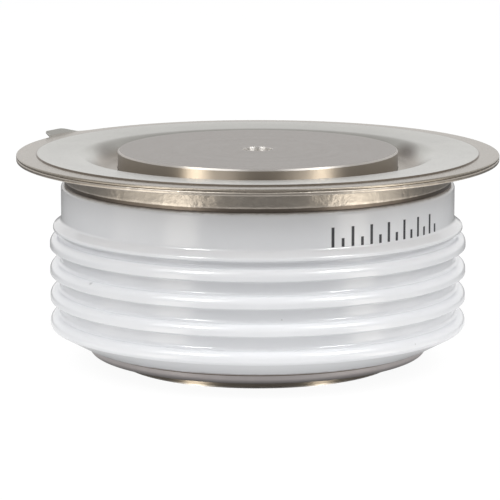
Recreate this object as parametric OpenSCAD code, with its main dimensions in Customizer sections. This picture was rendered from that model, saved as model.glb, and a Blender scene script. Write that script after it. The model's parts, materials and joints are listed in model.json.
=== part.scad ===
// Disc (capsule) thyristor: a silicon wafer clamped between two copper pole pieces inside a ribbed,
// glazed ceramic ring that is closed by a welded metal flange.
// The origin is the centre of the anode face, +Z points to the cathode face, lengths are millimetres.

/* [Package] */
// Diameter of the ceramic's plain barrel, from which the bore, the poles and the stack are worked inwards
barrel_d = 47.8; // [44:0.1:53]
// Height between the two pole faces
package_h = 26; // [25.5:0.1:29]
// Chamfer round each pole face
pole_edge = 0.2; // [0.1:0.05:0.4]
// Diameter of the centring hole in each pole face
centring_d = 3.5; // [3:0.1:5]
// Depth of the centring holes
centring_depth = 2.2; // [1.6:0.1:2.6]
// Chamfer at the mouth of the centring holes
centring_edge = 0.1; // [0.05:0.05:0.3]

/* [Flange] */
// Diameter over the welded rim
flange_d = 58.5; // [57:0.5:62]
// Thickness of the pressed diaphragm sheet
diaphragm_t = 0.3; // [0.2:0.05:0.4]
// Thickness of the weld ring sheet
weld_ring_t = 0.5; // [0.4:0.05:0.7]
// Height of the weld ring, from the ceramic to the seam
weld_ring_h = 3.3; // [2.8:0.1:4]
// Width of the flat rim where the two sheets are welded
rim_w = 2.45; // [1.5:0.05:3.2]
// How far the cathode face stands above the rim
face_proud = 0.4; // [0.2:0.05:1]
// Height of the small step at the inner edge of the rim
rim_step = 0.16; // [0.12:0.02:0.4]
// How far the annulus falls from the rim step to the moat
annulus_fall = 0.28; // [0.1:0.02:0.4]
// Depth of the moat floor below the rim
moat_depth = 1.75; // [1.4:0.05:2.1]
// Width of the flat moat floor
moat_floor_w = 1.9; // [1.2:0.1:2.4]
// Width of the moat's sloping outer wall
moat_wall_w = 2.3; // [1.8:0.1:2.8]
// Bend radius at the foot and head of the moat's outer wall
moat_bend = 2.2; // [1:0.1:2.6]
// How far the weld ring's wall stands in from the ceramic barrel
weld_inset = 0.35; // [0.2:0.05:0.8]
// Width of the weld ring's foot on the ceramic
weld_foot_w = 3.2; // [2:0.1:3.8]
// Broken edge of the two sheets at the rim
sheet_edge = 0.07; // [0.04:0.01:0.09]

/* [Cathode tab] */
// Direction of the tab, seen from above
tab_angle = 148; // [100:1:200]
// Width of the tab at its root, without its flared side
tab_w = 4.2; // [3:0.1:6]
// How far the flared side of the tab spreads along the rim
tab_flare = 3.3; // [1.5:0.1:4.5]
// Width of the tab at its tip
tab_tip_w = 3.4; // [2:0.1:5]
// How far the tab stands out from the rim, seen from above
tab_l = 1.15; // [0.8:0.05:3]
// Angle at which the tab is bent up
tab_bend = 30; // [10:1:40]
// Radius on the upper face of the tab's bend
tab_bend_r = 0.5; // [0.4:0.1:1]
// Distance from the rim's edge out to the tab's bend
tab_bend_gap = 0.1; // [0:0.05:0.3]
// Fillet at the straight side of the tab's root
tab_fillet = 0.6; // [0.3:0.1:1.2]
// Large fillet between the flared side and the rim
tab_flare_fillet = 6; // [3:0.5:8]
// Round corner of the tab's tip on the straight side
tab_tip_round = 0.3; // [0.2:0.05:0.8]
// Round corner of the tab's tip on the flared side
tab_flare_round = 3; // [1:0.5:4]

/* [Ceramic] */
// Wall between the bore and the plain barrel
ceramic_wall = 4.7; // [4.2:0.1:5.2]
// How far the ribs stand out from the barrel
rib_proud = 1.4; // [0.8:0.1:2]
// Depth of the grooves between the ribs
groove_depth = 1.3; // [0.9:0.1:1.6]
// Number of full ribs
rib_n = 4; // [2:1:4]
// Distance from rib to rib
rib_pitch = 3.2; // [3:0.05:3.3]
// Thickness of a rib
rib_h = 1.4; // [1.25:0.05:1.7]
// Round upper shoulder of a rib
rib_shoulder = 0.85; // [0.5:0.05:0.95]
// Round lower lip of a rib
rib_lip = 0.15; // [0.1:0.05:0.3]
// Fillet in the bottom of a groove
groove_fillet = 0.4; // [0.2:0.05:0.45]
// Width of the narrow groove under the top shoulder
top_groove_w = 0.85; // [0.7:0.05:0.95]
// How far the top shoulder stands out from the barrel
shoulder_proud = 1; // [0.7:0.05:1.2]
// Height of the top shoulder's upright face
shoulder_h = 0.4; // [0.35:0.05:0.6]
// Round upper edge of the top shoulder
shoulder_round = 0.3; // [0.1:0.05:0.35]
// Height of the slope from the shoulder to the barrel
slope_h = 0.75; // [0.5:0.05:1]
// Width of the ceramic's lower face
foot_w = 2.3; // [1.9:0.1:2.8]
// Height of the slope from the lower face to the lowest rib
foot_slope_h = 2.05; // [1.8:0.05:2.4]
// Round edges of the ceramic's end faces
end_round = 0.5; // [0.3:0.05:0.6]

/* [Anode side] */
// How far the anode face stands out below the seal ring
anode_proud = 1.3; // [1:0.1:1.6]
// Thickness of the lower seal ring
seal_ring_t = 1.3; // [1:0.1:1.5]
// How far the lower seal ring reaches under the ceramic
seal_ring_lap = 1.4; // [1:0.1:1.8]
// Round lower edge of the seal ring
seal_ring_round = 0.65; // [0.3:0.05:0.8]
// Gap between the anode pole's body and the ceramic's bore
anode_body_gap = 0.6; // [0.4:0.1:0.8]
// Width of the anode pole's shoulder on the seal ring
anode_shoulder_w = 1.6; // [1.3:0.1:2]
// Height of the anode pole
anode_pole_h = 9.6; // [9:0.1:10.4]
// Height of the turned-down top of the anode pole
anode_seat_h = 2; // [1:0.1:3]
// Step between the anode pole's body and its turned-down top
anode_seat_step = 1; // [0.6:0.1:1.2]

/* [Wafer stack] */
// Thickness of each silver foil
foil_t = 0.15; // [0.1:0.05:0.3]
// Thickness of the anode molybdenum disc
anode_disc_t = 2; // [1.5:0.1:2.4]
// Thickness of the silicon wafer
wafer_t = 0.5; // [0.3:0.05:0.7]
// Thickness of the cathode molybdenum disc
cathode_disc_t = 1; // [0.8:0.1:1.5]
// Width of the edge seal beyond the wafer
seal_w = 0.5; // [0.3:0.1:0.8]
// Width of the bevel ground on the wafer's edge
wafer_bevel = 0.7; // [0.3:0.1:1]
// How far the cathode contact's edge stands in from the pole face's: foil, disc and pole
contact_inset = 1.1; // [0.8:0.1:1.8]
// Height of the silicone edge seal over the wafer
seal_over = 0.65; // [0.3:0.05:0.9]
// Wall of the locating ring round the stack
locating_wall = 0.9; // [0.6:0.1:1]

/* [Cathode pole] */
// Width of the brazing collar round the cathode pole
collar_w = 1; // [0.6:0.1:1.3]
// Height of the brazing collar
collar_h = 1; // [0.6:0.1:1.6]
// Chamfer round the inner faces of both poles
inner_edge = 0.3; // [0.1:0.1:0.5]

/* [Gate] */
// Direction of the gate terminal, seen from above
gate_angle = 118; // [100:1:130]
// Height of the gate lead below the top of the ceramic
gate_drop = 2.3; // [2.1:0.05:2.5]
// Diameter of the pole's gate bore
gate_bore_d = 4.6; // [4.2:0.1:5.4]
// Wall of the insulating cup
cup_wall = 0.5; // [0.3:0.05:0.6]
// Floor of the insulating cup
cup_floor = 0.6; // [0.4:0.1:0.8]
// Height of the cup above the wafer
cup_lift = 0.2; // [0.1:0.05:0.3]
// Diameter of the gate contact's tip
contact_pin_d = 1; // [0.8:0.1:1.2]
// Thickness of the contact's head
contact_head_t = 0.6; // [0.4:0.1:0.8]
// Gap between the contact's head and the cup floor
contact_travel = 0.3; // [0.2:0.05:0.5]
// Wire of the gate spring
spring_wire = 0.4; // [0.3:0.05:0.45]
// Turns of the gate spring
spring_turns = 5; // [4:0.5:6]
// Thickness of the insulating washer over the spring
washer_t = 0.4; // [0.3:0.05:0.6]
// Diameter of the gate lead
lead_d = 0.7; // [0.5:0.05:0.8]
// Bend radius of the gate lead
lead_bend = 1.2; // [1:0.1:1.4]
// Wall of the sleeve on the gate lead
sleeve_wall = 0.5; // [0.25:0.05:0.6]
// Outer diameter of the gate tube
tube_d = 1.8; // [1.6:0.1:2]
// Wall of the gate tube
tube_wall = 0.3; // [0.2:0.05:0.33]
// Distance from the axis to the gate tube's tip
tube_reach = 28; // [27:0.1:29]
// Length of the gate tube's end that is swaged down on the lead
swage_l = 2.4; // [1.4:0.1:2.6]
// Solid tip of the gate tube
tube_tip = 0.6; // [0.4:0.1:1]
// Diameter of the eyelet's flange
eyelet_d = 3.4; // [3:0.1:3.8]
// Thickness of the eyelet's flange
eyelet_t = 0.4; // [0.3:0.05:0.6]
// Length of the eyelet's neck
eyelet_neck = 1; // [0.6:0.1:1.6]
// Depth of the flat for the eyelet in the ceramic
eyelet_flat = 0.4; // [0.3:0.05:0.6]

/* [Hidden] */

$fn = 96;
// Points along each round corner of a turned or pressed section
corner_n = 6;
// Overshoot of a cutting shape past the surface that it cuts
cut = 0.5;
// Gap between brazed pieces, one inside the other
braze_gap = 0.05;
// Gap between loose pieces, one inside the other
loose_gap = 0.1;

// Radii from the barrel inwards
barrel_r = barrel_d / 2;
bore_r = barrel_r - ceramic_wall;
anode_body_r = bore_r - anode_body_gap;
anode_seat_r = anode_body_r - anode_seat_step;
pole_r = anode_body_r - anode_shoulder_w;
contact_r = pole_r - contact_inset;
locating_r = bore_r - loose_gap;
anode_disc_r = locating_r - locating_wall - loose_gap;
wafer_r = anode_disc_r - seal_w;

// Heights up the outside of the package
ceramic_z = anode_proud + seal_ring_t;
rim_top_z = package_h - face_proud;
seam_z = rim_top_z - diaphragm_t;
ceramic_top_z = seam_z - weld_ring_h;
moat_z = rim_top_z - moat_depth;
collar_top_z = moat_z - diaphragm_t;

// Heights up the wafer stack
anode_disc_z = anode_pole_h + foil_t;
wafer_z = anode_disc_z + anode_disc_t;
wafer_top_z = wafer_z + wafer_t;
cathode_disc_z = wafer_top_z + foil_t;
cathode_pole_z = cathode_disc_z + cathode_disc_t;

locating_z = anode_pole_h - anode_seat_h;

// Section of the weld ring and its rim
weld_wall_r = barrel_r - weld_inset;
weld_bend = weld_ring_t + 0.25;
flange_r = flange_d / 2;

// Section of the ceramic
rib_r = barrel_r + rib_proud;
groove_r = rib_r - groove_depth;
rib_round = min(rib_shoulder, groove_depth - groove_fillet);
top_groove_fillet = min(groove_fillet, 0.45 * top_groove_w);
shoulder_r = barrel_r + shoulder_proud;
first_lip_z = ceramic_z + foot_slope_h;
last_lip_z = first_lip_z + (rib_n - 1) * rib_pitch;
shoulder_lip_z = last_lip_z + rib_h + top_groove_w;
shoulder_top_z = shoulder_lip_z + shoulder_h;
band_z = shoulder_top_z + slope_h;

// Gate parts, from the axis outwards
cup_r = gate_bore_d / 2 - loose_gap;
cup_bore_r = cup_r - cup_wall;
contact_head_r = cup_bore_r - loose_gap;
lead_r = lead_d / 2;
sleeve_r = lead_r + braze_gap + sleeve_wall;
slot_w = 2 * sleeve_r + 3 * loose_gap;
tube_r = tube_d / 2;
eyelet_r = eyelet_d / 2;
eyelet_x = barrel_r - eyelet_flat;
lead_z = ceramic_top_z - gate_drop;
slot_top_z = lead_z + slot_w / 2;
cup_z = wafer_top_z + cup_lift;
contact_head_z = cup_z + cup_floor + contact_travel;
contact_top_z = contact_head_z + contact_head_t;
washer_top_z = lead_z - lead_bend - lead_r;
washer_z = washer_top_z - washer_t;
tube_bore_x = tube_reach - tube_tip;

nickel = [0.70, 0.68, 0.64];
warm_nickel = [0.66, 0.62, 0.57];
glaze = [0.93, 0.93, 0.94];
molybdenum = [0.55, 0.56, 0.58];
silver = [0.84, 0.84, 0.82];
silicon = [0.30, 0.32, 0.36];
silicone = [0.86, 0.84, 0.80];
fluoropolymer = [0.95, 0.95, 0.92];
spring_steel = [0.50, 0.50, 0.50];

// A direction of length one
function unit(v) = v / norm(v);

// The direction to the left of a step from a to b
function left_of(a, b) = let (u = unit(b - a)) [-u[1], u[0]];

// A point of a path without its corner radius
function flat(p) = [p[0], p[1]];

// The points of a round corner at b on the way from a to c, moved to the left by side.
// The moved corner keeps its centre, so that both faces of a bent sheet stay parallel.
function corner(a, b, c, r, side) =
    let (
        u = unit(a - b),
        v = unit(c - b),
        half = acos(u * v) / 2,
        centre = b + unit(u + v) * r / sin(half),
        turn = sign(-u[0] * v[1] + u[1] * v[0]),
        first = b + u * r / tan(half) - centre,
        start = atan2(first[1], first[0]),
        sweep = turn * (180 - 2 * half)
    )
    [for (i = [0:corner_n]) let (w = start + sweep * i / corner_n)
        centre + (r - turn * side) * [cos(w), sin(w)]];

// The points of an open path of [x, y, corner radius], moved to the left by side
function open_path(p, side = 0) =
    let (last = len(p) - 1)
    [
        flat(p[0]) + side * left_of(flat(p[0]), flat(p[1])),
        for (i = [1:last - 1]) each corner(flat(p[i - 1]), flat(p[i]), flat(p[i + 1]), p[i][2], side),
        flat(p[last]) + side * left_of(flat(p[last - 1]), flat(p[last]))
    ];

// The points of a closed outline of [x, y, corner radius], where a radius of 0 is a sharp corner
function outline(p) =
    let (n = len(p))
    [for (i = [0:n - 1]) each (p[i][2] == 0 ? [flat(p[i])]
        : corner(flat(p[(i + n - 1) % n]), flat(p[i]), flat(p[(i + 1) % n]), p[i][2], 0))];

// A list of points in the opposite order
function reversed(p) = [for (i = [len(p) - 1:-1:0]) p[i]];

// The section of a sheet of thickness t under a path
function sheet(p, t) = concat(open_path(p), reversed(open_path(p, -t)));

// The same with its last edge broken on both faces, where the path ends on the flat
function edged_sheet(p, t) =
    let (end = flat(p[len(p) - 1]), e = sheet_edge)
    concat(open_path(p), [end + [e, -e], end + [e, e - t]], reversed(open_path(p, -t)));

// Turns a section round the Z axis
module turned(points) {
    rotate_extrude() polygon(points);
}

// A plain disc or ring from z to z + h
module disc(r, z, h, hole_r = 0) {
    translate([0, 0, z]) difference() {
        cylinder(r = r, h = h);
        if (hole_r > 0) translate([0, 0, -cut]) cylinder(r = hole_r, h = h + 2 * cut);
    }
}

// Places things on the gate lead's line, with their own Z axis pointing out of the package
module on_gate_line(x = 0) {
    rotate([0, 0, gate_angle]) translate([x, 0, lead_z]) rotate([0, 90, 0]) children();
}

// The blind centring hole of a pole, with its mouth at the origin and its depth along -Z
module centring_hole() {
    drill_cone_h = centring_d / 2 * tan(30);
    turned([
        [0, cut], [centring_d / 2 + centring_edge + cut, cut],
        [centring_d / 2, -centring_edge], [centring_d / 2, -centring_depth],
        [0, -centring_depth - drill_cone_h]
    ]);
}

// Glazed alumina ring: sloping foot, full ribs, a top shoulder and a plain barrel
module ceramic_housing() {
    ribs = [for (i = [0:rib_n - 1]) let (lip_z = first_lip_z + i * rib_pitch, top = i == rib_n - 1) each [
        [rib_r, lip_z, i == 0 ? end_round : rib_lip],
        [rib_r, lip_z + rib_h, rib_round],
        if (!top) [groove_r, lip_z + rib_h, groove_fillet],
        if (!top) [groove_r, lip_z + rib_pitch, groove_fillet]
    ]];
    section = concat(
        [[bore_r, ceramic_z, 0], [bore_r + foot_w, ceramic_z, end_round / 2]],
        ribs,
        [
            [groove_r, last_lip_z + rib_h, top_groove_fillet],
            [groove_r, shoulder_lip_z, top_groove_fillet],
            [shoulder_r, shoulder_lip_z, shoulder_round / 2],
            [shoulder_r, shoulder_top_z, shoulder_round],
            [barrel_r, band_z, end_round],
            [barrel_r, ceramic_top_z, end_round],
            [bore_r, ceramic_top_z, 0]
        ]
    );
    color(glaze) difference() {
        turned(outline(section));
        on_gate_line(bore_r - barrel_r / 2) cylinder(r = tube_r + braze_gap, h = barrel_r);
        on_gate_line(eyelet_x) cylinder(r = eyelet_r + loose_gap, h = rib_proud + eyelet_flat + cut);
    }
}

// Z-section ring: a foot brazed to the ceramic, an upright wall and the lower sheet of the rim
module upper_weld_ring() {
    color(warm_nickel) turned(edged_sheet([
        [weld_wall_r - weld_foot_w, ceramic_top_z + weld_ring_t, 0],
        [weld_wall_r - weld_ring_t, ceramic_top_z + weld_ring_t, weld_bend - weld_ring_t],
        [weld_wall_r - weld_ring_t, seam_z, weld_bend],
        [flange_r - sheet_edge, seam_z, 0]
    ], weld_ring_t));
}

// Pressed sheet: a moat round the pole, an annulus, the stepped rim and the bent cathode tab
module cathode_diaphragm() {
    moat_r = pole_r + braze_gap + moat_floor_w;
    moat_lip_r = moat_r + moat_wall_w;
    rim_r = flange_r - rim_w;
    step_w = 2 * rim_step;
    annulus_z = rim_top_z + rim_step;
    color(nickel) union() {
        turned(edged_sheet([
            [pole_r + braze_gap, moat_z, 0],
            [moat_r, moat_z, moat_bend],
            [moat_lip_r, annulus_z - annulus_fall, moat_bend + diaphragm_t],
            [rim_r - step_w / 2, annulus_z, diaphragm_t + 0.1],
            [rim_r + step_w / 2, rim_top_z, 0.2],
            [flange_r - sheet_edge, rim_top_z, 0]
        ], diaphragm_t));
        cathode_tab();
    }
}

// The tab grows out of the flat rim and is bent up. One side is straight, the other flares into the rim.
module cathode_tab() {
    root = rim_w / 2;
    near = tab_w / 2;
    near_end = near + 2 * tab_fillet;
    far = near + tab_flare;
    far_end = far + tab_flare_fillet / 4;
    tip = tab_tip_w / 2;
    function rim_x(y) = sqrt(pow(flange_r, 2) - pow(y, 2)) - sheet_edge;
    bend_x = flange_r + tab_bend_gap;
    tip_x = flange_r + tab_l;
    rotate([0, 0, tab_angle]) intersection() {
        translate([0, near_end, 0]) rotate([90, 0, 0]) linear_extrude(near_end + far_end) polygon(sheet([
            [flange_r - root, rim_top_z, 0],
            [bend_x, rim_top_z, tab_bend_r],
            [tip_x + cut, rim_top_z + (tip_x + cut - bend_x) * tan(tab_bend), 0]
        ], diaphragm_t));
        linear_extrude(2 * package_h) polygon(outline([
            [flange_r - root, -far_end, 0],
            [rim_x(far_end), -far_end, 0],
            [rim_x(far), -far, tab_flare_fillet],
            [tip_x, -tip, tab_flare_round],
            [tip_x, tip, tab_tip_round],
            [rim_x(near), near, tab_fillet],
            [rim_x(near_end), near_end, 0],
            [flange_r - root, near_end, 0]
        ]));
    }
}

// Copper pole: outer face, brazing collar, contact face and the bore and slot of the gate contact
module cathode_pole() {
    color(nickel) difference() {
        turned([
            [0, cathode_pole_z], [contact_r - inner_edge, cathode_pole_z],
            [contact_r, cathode_pole_z + inner_edge], [contact_r, collar_top_z - collar_h],
            [pole_r + collar_w, collar_top_z - collar_h], [pole_r + collar_w, collar_top_z],
            [pole_r, collar_top_z], [pole_r, package_h - pole_edge],
            [pole_r - pole_edge, package_h], [0, package_h]
        ]);
        translate([0, 0, package_h]) centring_hole();
        disc(gate_bore_d / 2, cathode_pole_z - cut, washer_top_z - cathode_pole_z + cut);
        disc(slot_w / 2, cathode_pole_z - cut, slot_top_z - cathode_pole_z + cut);
        rotate([0, 0, gate_angle]) translate([0, -slot_w / 2, cathode_pole_z - cut])
            cube([pole_r + collar_w + cut, slot_w, slot_top_z - cathode_pole_z + cut]);
    }
}

// Flat ring brazed between the anode pole's shoulder and the ceramic's lower face
module lower_seal_ring() {
    seal_ring_r = bore_r + seal_ring_lap;
    color(warm_nickel) turned(outline([
        [pole_r + braze_gap, anode_proud, 0],
        [seal_ring_r, anode_proud, seal_ring_round],
        [seal_ring_r, ceramic_z, 0],
        [pole_r + braze_gap, ceramic_z, 0]
    ]));
}

// Copper pole: outer face, shoulder on the seal ring and a turned-down seat for the stack
module anode_pole() {
    color(nickel) difference() {
        turned([
            [0, 0], [pole_r - pole_edge, 0], [pole_r, pole_edge], [pole_r, ceramic_z],
            [anode_body_r, ceramic_z], [anode_body_r, locating_z],
            [anode_seat_r, locating_z], [anode_seat_r, anode_pole_h - inner_edge],
            [anode_seat_r - inner_edge, anode_pole_h], [0, anode_pole_h]
        ]);
        mirror([0, 0, 1]) centring_hole();
    }
}

// Soft silver foil between the anode pole and its molybdenum disc
module anode_silver_foil() {
    color(silver) disc(anode_seat_r - inner_edge, anode_pole_h, foil_t);
}

// Molybdenum disc that carries the wafer
module anode_molybdenum_disc() {
    color(molybdenum) disc(anode_disc_r, anode_disc_z, anode_disc_t);
}

// Silicon wafer with a bevelled edge
module silicon_wafer() {
    color(silicon) translate([0, 0, wafer_z]) cylinder(r1 = wafer_r, r2 = wafer_r - wafer_bevel, h = wafer_t);
}

// Silicone rubber cast round the wafer's bevel
module wafer_edge_seal() {
    top_z = wafer_top_z + seal_over;
    color(silicone) turned([
        [wafer_r, wafer_z], [anode_disc_r, wafer_z], [anode_disc_r, top_z - inner_edge],
        [anode_disc_r - inner_edge, top_z], [contact_r + loose_gap, top_z],
        [contact_r + loose_gap, wafer_top_z], [wafer_r - wafer_bevel, wafer_top_z]
    ]);
}

// Soft silver foil on the wafer, open in the middle for the gate contact
module cathode_silver_foil() {
    color(silver) disc(contact_r, wafer_top_z, foil_t, gate_bore_d / 2);
}

// Molybdenum disc under the cathode pole, open in the middle for the gate contact
module cathode_molybdenum_disc() {
    color(molybdenum) disc(contact_r, cathode_disc_z, cathode_disc_t, gate_bore_d / 2);
}

// Stepped ring that stands on the anode pole and centres the wafer in the bore
module wafer_locating_ring() {
    top_z = wafer_top_z + seal_over + inner_edge;
    color(fluoropolymer) turned([
        [anode_seat_r + loose_gap, locating_z], [locating_r, locating_z],
        [locating_r, top_z], [anode_disc_r + loose_gap, top_z],
        [anode_disc_r + loose_gap, anode_disc_z], [anode_seat_r + loose_gap, anode_disc_z]
    ]);
}

// Turned contact that rests on the gate pad in the middle of the wafer
module gate_contact() {
    color(silver) union() {
        disc(contact_pin_d / 2, wafer_top_z, contact_head_z - wafer_top_z);
        disc(contact_head_r, contact_head_z, contact_head_t);
    }
}

// Coil spring between the contact's head and the washer, with closed end turns
module gate_spring() {
    wire_r = spring_wire / 2;
    coil_r = contact_head_r - wire_r;
    sides = 8;
    turn_n = 20;
    ring_n = round(turn_n * spring_turns);
    low = contact_top_z + wire_r;
    rise = washer_z - wire_r - low;
    // Height of the wire's middle, where the first and last turn climb by one wire only
    function climb(turns) =
        turns < 1 ? spring_wire * turns
        : turns > spring_turns - 1 ? rise - spring_wire * (spring_turns - turns)
        : spring_wire + (rise - 2 * spring_wire) * (turns - 1) / (spring_turns - 2);
    points = [for (i = [0:ring_n], s = [0:sides - 1])
        let (a = 360 * i / turn_n, w = 360 * s / sides + 180 / sides, r = coil_r + wire_r * cos(w))
        [r * cos(a), r * sin(a), low + climb(i / turn_n) + wire_r * sin(w)]];
    skin = [for (i = [0:ring_n - 1], s = [0:sides - 1])
        let (a = i * sides + s, b = i * sides + (s + 1) % sides)
        each [[a, b, b + sides], [a, b + sides, a + sides]]];
    first_cap = [for (s = [sides - 1:-1:0]) s];
    last_cap = [for (s = [0:sides - 1]) ring_n * sides + s];
    color(spring_steel) polyhedron(points, concat(skin, [first_cap, last_cap]));
}

// Insulating cup that keeps the contact and its spring clear of the pole
module gate_insulator_cup() {
    color(fluoropolymer) turned([
        [contact_pin_d / 2 + loose_gap, cup_z], [cup_r, cup_z], [cup_r, washer_z],
        [cup_bore_r, washer_z], [cup_bore_r, cup_z + cup_floor],
        [contact_pin_d / 2 + loose_gap, cup_z + cup_floor]
    ]);
}

// Washer that carries the spring's thrust to the roof of the gate bore
module gate_insulating_washer() {
    color(fluoropolymer) disc(cup_r, washer_z, washer_t, lead_r + loose_gap);
}

// Wire from the contact's head, up through the spring and out along the slot into the tube
module gate_lead() {
    bend_z = lead_z - lead_bend;
    color(silver) rotate([0, 0, gate_angle]) union() {
        translate([0, 0, bend_z]) mirror([0, 0, 1]) cylinder(r = lead_r, h = bend_z - contact_top_z);
        translate([lead_bend, 0, bend_z]) rotate([90, 0, 0]) rotate([0, 0, 90])
            rotate_extrude(angle = 90) translate([lead_bend, 0]) circle(r = lead_r);
        translate([lead_bend, 0, lead_z]) rotate([0, 90, 0])
            cylinder(r = lead_r, h = tube_bore_x - lead_bend);
    }
}

// Insulating sleeve on the lead, from its bend to the ceramic
module gate_lead_sleeve() {
    start_x = lead_bend + loose_gap;
    end_x = bore_r - 3 * loose_gap;
    color(fluoropolymer) on_gate_line(start_x) difference() {
        cylinder(r = sleeve_r, h = end_x - start_x);
        translate([0, 0, -cut]) cylinder(r = lead_r + braze_gap, h = end_x - start_x + 2 * cut);
    }
}

// Tube brazed through the ceramic, with its end swaged down on the lead and closed over it
module gate_tube() {
    start_x = bore_r - 2 * loose_gap;
    swage_x = tube_reach - swage_l;
    swage_bore_r = lead_r + braze_gap;
    swage_r = swage_bore_r + tube_wall;
    cone_x = swage_x - 3 * (tube_r - swage_r);
    tip_round = tube_wall;
    color(nickel) on_gate_line() turned(outline([
        [tube_r - tube_wall, start_x, 0],
        [tube_r, start_x, 0],
        [tube_r, cone_x, 0],
        [swage_r, swage_x, 0],
        [swage_r, tube_reach, tip_round],
        [0, tube_reach, 0],
        [0, tube_bore_x, 0],
        [swage_bore_r, tube_bore_x, 0],
        [swage_bore_r, swage_x, 0],
        [tube_r - tube_wall, cone_x, 0]
    ]));
}

// Eyelet brazed to a flat on the ceramic, which seals the tube where it comes out
module gate_eyelet() {
    neck_r = tube_r + braze_gap + tube_wall;
    color(warm_nickel) on_gate_line(eyelet_x) turned(outline([
        [tube_r + braze_gap, 0, 0],
        [eyelet_r, 0, 0],
        [eyelet_r, eyelet_t, eyelet_t / 4],
        [neck_r, eyelet_t, tube_wall],
        [neck_r, eyelet_t + eyelet_neck, tube_wall / 3],
        [tube_r + braze_gap, eyelet_t + eyelet_neck, 0]
    ]));
}

ceramic_housing();
upper_weld_ring();
cathode_diaphragm();
cathode_pole();
lower_seal_ring();
anode_pole();
anode_silver_foil();
anode_molybdenum_disc();
silicon_wafer();
wafer_edge_seal();
cathode_silver_foil();
cathode_molybdenum_disc();
wafer_locating_ring();
gate_contact();
gate_spring();
gate_insulator_cup();
gate_insulating_washer();
gate_lead();
gate_lead_sleeve();
gate_tube();
gate_eyelet();
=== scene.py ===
# %% [markdown]
# # A disc thyristor in Blender
# A disc thyristor is a flat sandwich: a silicon wafer between two nickel-plated copper poles, inside a
# ribbed ring of white glazed ceramic. A thin welded flange closes the ring at the top. This lesson dresses
# a finished construction model of it. Every piece sits in the model's own frame, in metres, with +Z up.

# %% Load the construction model
import json
import math

import bmesh
import bpy
from mathutils import Matrix, Vector


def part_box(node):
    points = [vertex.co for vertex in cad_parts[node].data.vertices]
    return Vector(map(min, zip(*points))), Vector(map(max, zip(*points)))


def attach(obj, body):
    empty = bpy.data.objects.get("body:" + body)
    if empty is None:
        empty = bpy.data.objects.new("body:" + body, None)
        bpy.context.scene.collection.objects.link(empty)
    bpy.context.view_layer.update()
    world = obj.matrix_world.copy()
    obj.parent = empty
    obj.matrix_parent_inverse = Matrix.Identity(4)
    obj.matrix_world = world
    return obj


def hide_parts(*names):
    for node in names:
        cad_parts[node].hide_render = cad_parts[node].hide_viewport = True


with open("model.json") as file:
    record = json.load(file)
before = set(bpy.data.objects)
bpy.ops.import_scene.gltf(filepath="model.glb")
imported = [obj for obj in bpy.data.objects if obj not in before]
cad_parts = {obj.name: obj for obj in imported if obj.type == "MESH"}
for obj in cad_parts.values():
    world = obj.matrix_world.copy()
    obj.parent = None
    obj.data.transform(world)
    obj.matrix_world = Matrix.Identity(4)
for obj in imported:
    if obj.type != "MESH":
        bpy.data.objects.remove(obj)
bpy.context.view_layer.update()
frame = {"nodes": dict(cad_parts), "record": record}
NODES = frame["nodes"]
MM = 0.001

# %% [markdown]
# ## The camera
# The part was photographed from about 0.37 metres with a long lens, from ten degrees above the rim. A long
# lens keeps the ellipses of the flange and the ribs nearly alike, and that flat look is copied here: the
# focal length is worked out from the size of a picture element and not guessed.

# %% Camera
PICTURE_PX = 500
FOCAL_PX = 3048.4
SENSOR_MM = 36.0
CAMERA_AT = Vector((-0.94, -366.35, 78.78)) * MM
CAMERA_PITCH = math.radians(10.10)


def add_object(name, data):
    """Adds an object to the scene and returns it."""
    made = bpy.data.objects.new(name, data)
    bpy.context.scene.collection.objects.link(made)
    return made


lens = bpy.data.cameras.new("long_lens")
lens.sensor_width = SENSOR_MM
lens.lens = FOCAL_PX * SENSOR_MM / PICTURE_PX
lens.clip_start = 0.01
camera = add_object("camera", lens)
camera.location = CAMERA_AT
camera.rotation_euler = (math.pi / 2 - CAMERA_PITCH, 0, 0)
bpy.context.scene.camera = camera
print("lens in mm:", round(lens.lens, 1))

# %% [markdown]
# ## Building shaders by hand
# Nodes are easier to read when one call makes a node, sets it and fills its sockets. `node` does that: a
# socket given to it becomes a link, anything else becomes the socket's own value. `calc` and `vector` do the
# same for the Math and Vector Math nodes.

# %% Shader helpers
def fill(tree, made, inputs):
    """Fills input sockets of a node, each with a link or a value."""
    for name, value in inputs.items():
        if isinstance(value, bpy.types.NodeSocket):
            tree.links.new(value, made.inputs[name])
        else:
            made.inputs[name].default_value = value


def node(tree, kind, inputs=None, **settings):
    """Adds a node, sets its options and fills its input sockets."""
    made = tree.nodes.new(kind)
    for name, value in settings.items():
        setattr(made, name, value)
    fill(tree, made, inputs or {})
    return made


def calc(tree, operation, *values, clamp=False):
    """Adds a Math node on numbers or sockets and returns its result."""
    made = node(tree, "ShaderNodeMath", dict(enumerate(values)), operation=operation, use_clamp=clamp)
    return made.outputs[0]


def vector(tree, operation, *values):
    """Adds a Vector Math node on vectors or sockets and returns its result."""
    made = node(tree, "ShaderNodeVectorMath", dict(enumerate(values)), operation=operation)
    return made.outputs["Value" if operation in ("LENGTH", "DOT_PRODUCT") else "Vector"]


# %% [markdown]
# Colours and masks have helpers too, which blend, stretch, ease in, say where a point is, and make greys.

# %% Helpers for colours and masks
def blend(tree, factor, low, high, way="MIX"):
    """Mixes two colours, each a colour or a socket, and returns the result."""
    made = node(tree, "ShaderNodeMix", {0: factor, 6: low, 7: high}, data_type="RGBA", blend_type=way)
    return made.outputs[2]


def spread(tree, value, low, high):
    """Stretches a value that runs from 0 to 1 so that it runs from low to high."""
    made = node(tree, "ShaderNodeMapRange", {"Value": value, "To Min": low, "To Max": high})
    return made.outputs[0]


def ease(tree, value, start, end):
    """Grows softly from 0 to 1 as a value goes from start to end."""
    return node(tree, "ShaderNodeMapRange", {"Value": value, "From Min": start, "From Max": end},
                interpolation_type="SMOOTHSTEP").outputs[0]


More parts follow.
